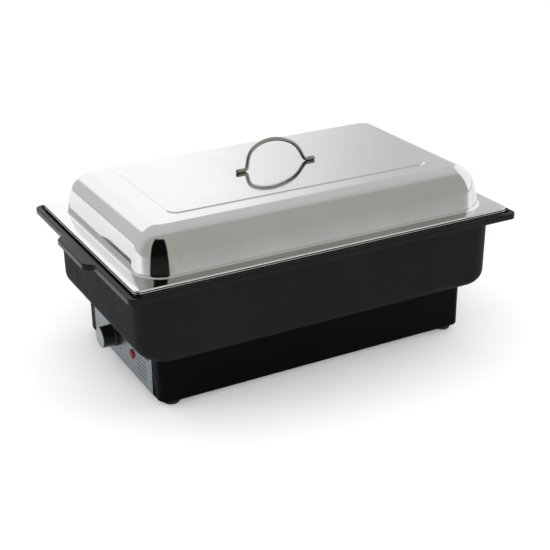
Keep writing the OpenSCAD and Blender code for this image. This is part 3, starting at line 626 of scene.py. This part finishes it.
def by_angle():
    """Smooth shading that keeps sharp edges sharp."""
    group = bpy.data.node_groups.new("smooth_by_angle", "GeometryNodeTree")
    group.interface.new_socket("Geometry", in_out="INPUT", socket_type="NodeSocketGeometry")
    group.interface.new_socket("Geometry", in_out="OUTPUT", socket_type="NodeSocketGeometry")
    new = group.nodes.new
    start, end = new("NodeGroupInput"), new("NodeGroupOutput")
    faces, sharp = new("GeometryNodeSetShadeSmooth"), new("GeometryNodeSetShadeSmooth")
    sharp.domain = "EDGE"
    sharp.inputs["Shade Smooth"].default_value = False
    angle = new("GeometryNodeInputMeshEdgeAngle")
    over = new("FunctionNodeCompare")
    over.operation = "GREATER_THAN"
    over.inputs["B"].default_value = math.radians(SHARP_ANGLE)
    for a, b in (
        (start.outputs[0], faces.inputs["Geometry"]), (faces.outputs[0], sharp.inputs["Geometry"]),
        (sharp.outputs[0], end.inputs[0]), (angle.outputs["Unsigned Angle"], over.inputs["A"]),
        (over.outputs[0], sharp.inputs["Selection"]),
    ):
        group.links.new(a, b)
    return group


# bevel widths, in millimetres
SOFT_EDGES = {
    "plinth": 0.9, "control_panel": 0.2, "knob_body": 0.3, "knob_cap": 0.12, "knob_pointer": 0.1,
    "feet": 0.3, "bottom_cover": 0.15, "inlet_body": 0.4, "lamp_lens": 0.15, "terminal_block": 0.4,
    "thermostat_body": 0.3, "foot_screws": 0.12, "inlet_screws": 0.12,
}


def soften():
    group = by_angle()
    for name, obj in nodes.items():
        weld = obj.modifiers.new("weld", "WELD")
        weld.merge_threshold = 0.002 * MM
        shade = obj.modifiers.new("shade", "NODES")
        shade.node_group = group
        if name in SOFT_EDGES:
            edge = obj.modifiers.new("edge", "BEVEL")
            edge.width = SOFT_EDGES[name] * MM
            edge.segments = 3
            edge.limit_method = "ANGLE"
            edge.angle_limit = math.radians(BEVEL_ANGLE)
            edge.harden_normals = True


# ---- studio ---------------------------------------------------------------------------


def studio():
    """A bright room as the polished lid shows it, five soft lights, a white floor."""
    world = bpy.data.worlds.new("studio")
    world.use_nodes = True
    bpy.context.scene.world = world
    w = Nodes(world.node_tree, "Generated")
    up = w.toward((0, 0, 1))
    # walls: a little darker in front than behind
    back = w.remap(w.toward((0, 1, 0.2)), 0, 1, 0.02, 0.5, True)
    sky = w.mix(back, (0.56, 0.56, 0.53), (0.82, 0.83, 0.845))
    # bright ceiling, which reaches lower on the left; it lights the shoulder's highlights
    left = w.remap(w.toward((0.866, 0.5, 0), (1, 1, 0)), 0, 1, 0.17, 0.34, True)
    lit = w.mix(w.remap(up, left, 0, 0.50, 0.61, True), sky, (1.50, 1.52, 1.55))
    # the backdrop behind, plain wall colour: the lid's top reflects it
    backdrop = w.remap(w.toward((-0.174, 0.985, 0), (1, 1, 0)), 0, 1, 0.695, 0.853, True)
    sky = w.mix(backdrop, sky, lit)
    # bright window card at the right end
    side = w.remap(w.toward((0.99, 0.09, 0.25)), 0, 1, 0.76, 0.82, True)
    sky = w.mix(side, sky, (1.40, 1.42, 1.45))
    # unlit gap at the front left, up to near the zenith: the black strip on the dome's corner
    above = w.remap(up, 0, 1, 0.86, 0.93, True)
    gap = w.remap(w.toward((*GAP_WAY, 0), (1, 1, 0)), 0, 1, 0.834, 0.866, True)
    sky = w.mix(gap, sky, w.mix(above, (0.006, 0.006, 0.006), sky))
    w.link(sky, world.node_tree.nodes["Background"].inputs["Color"])

    for name, place, aim, size, power in (
        ("overhead", (0.0, 0.3, 3.2), (0, 0, 0), (5.0, 4.0), 16),
        ("front", (-0.7, -2.6, 1.1), (0, -0.2, 0), (3.0, 1.6), 78),
        ("right", (2.7, -0.6, 1.1), (0.2, 0, 0), (2.6, 1.6), 22),
        ("left", (-2.6, 0.2, 1.2), (-0.2, 0.1, 0), (2.6, 1.6), 24),
        ("rear", (-0.5, 2.6, 1.3), (-0.4, 1.2, 0), (3.0, 1.2), 26),
    ):
        data = bpy.data.lights.new(name, "AREA")
        data.shape = "RECTANGLE"
        data.size, data.size_y = size
        data.energy = power
        light = bpy.data.objects.new(name, data)
        light.location = place
        light.rotation_euler = (Vector(aim) - Vector(place)).to_track_quat("-Z", "Y").to_euler()
        light.visible_glossy = False
        bpy.context.scene.collection.objects.link(light)

    bpy.ops.mesh.primitive_plane_add(size=14)
    floor = bpy.context.object
    floor.name = "floor"
    s = Shader("floor_white")
    floor.data.materials.append(
        s.done(s.ramp(s.noise(3, 2), (0.90, 0.90, 0.90), (0.92, 0.92, 0.92)),
               s.remap(s.noise(5, 2), 0.8, 0.9), specular=0.1)
    )

    # carries the gap down to the floor, for reflections only
    bpy.ops.mesh.primitive_plane_add(size=1)
    card = bpy.context.object
    card.name = "low_card"
    card.scale = (*CARD_SIZE, 1)
    card.rotation_euler = (math.radians(90), 0, math.radians(CARD_TURN))
    card.location = (-0.2 + CARD_OUT * GAP_WAY[0], -0.1 + CARD_OUT * GAP_WAY[1], CARD_SIZE[1] / 2)
    card.visible_camera = False
    card.visible_shadow = False
    card.visible_diffuse = False
    card.data.materials.append(moulded("card_black", (0.004, 0.004, 0.004), (0.006, 0.006, 0.006),
                                       (0.8, 0.9), specular=0.02))


def camera():
    """At the photograph's viewing angle."""
    az, el, roll = (math.radians(a) for a in (CAM_AZIMUTH, CAM_ELEVATION, CAM_ROLL))
    back = Vector((math.sin(az) * math.cos(el), -math.cos(az) * math.cos(el), math.sin(el)))
    right = Vector((math.cos(az), math.sin(az), 0))
    up = back.cross(right)
    turned_right = right * math.cos(roll) + up * math.sin(roll)
    turned_up = up * math.cos(roll) - right * math.sin(roll)
    data = bpy.data.cameras.new("camera")
    data.sensor_width = 36
    data.lens = CAM_LENS
    data.clip_end = 50
    obj = bpy.data.objects.new("camera", data)
    obj.matrix_world = Matrix((turned_right, turned_up, back)).transposed().to_4x4()
    obj.location = Vector(CAM_TARGET) + back * CAM_DISTANCE
    bpy.context.scene.collection.objects.link(obj)
    bpy.context.scene.camera = obj


lid()
lid_handle()
food_pan()
water_bath()
tub()
soften()
studio()
camera()
bpy.context.scene.view_settings.view_transform = "Standard"
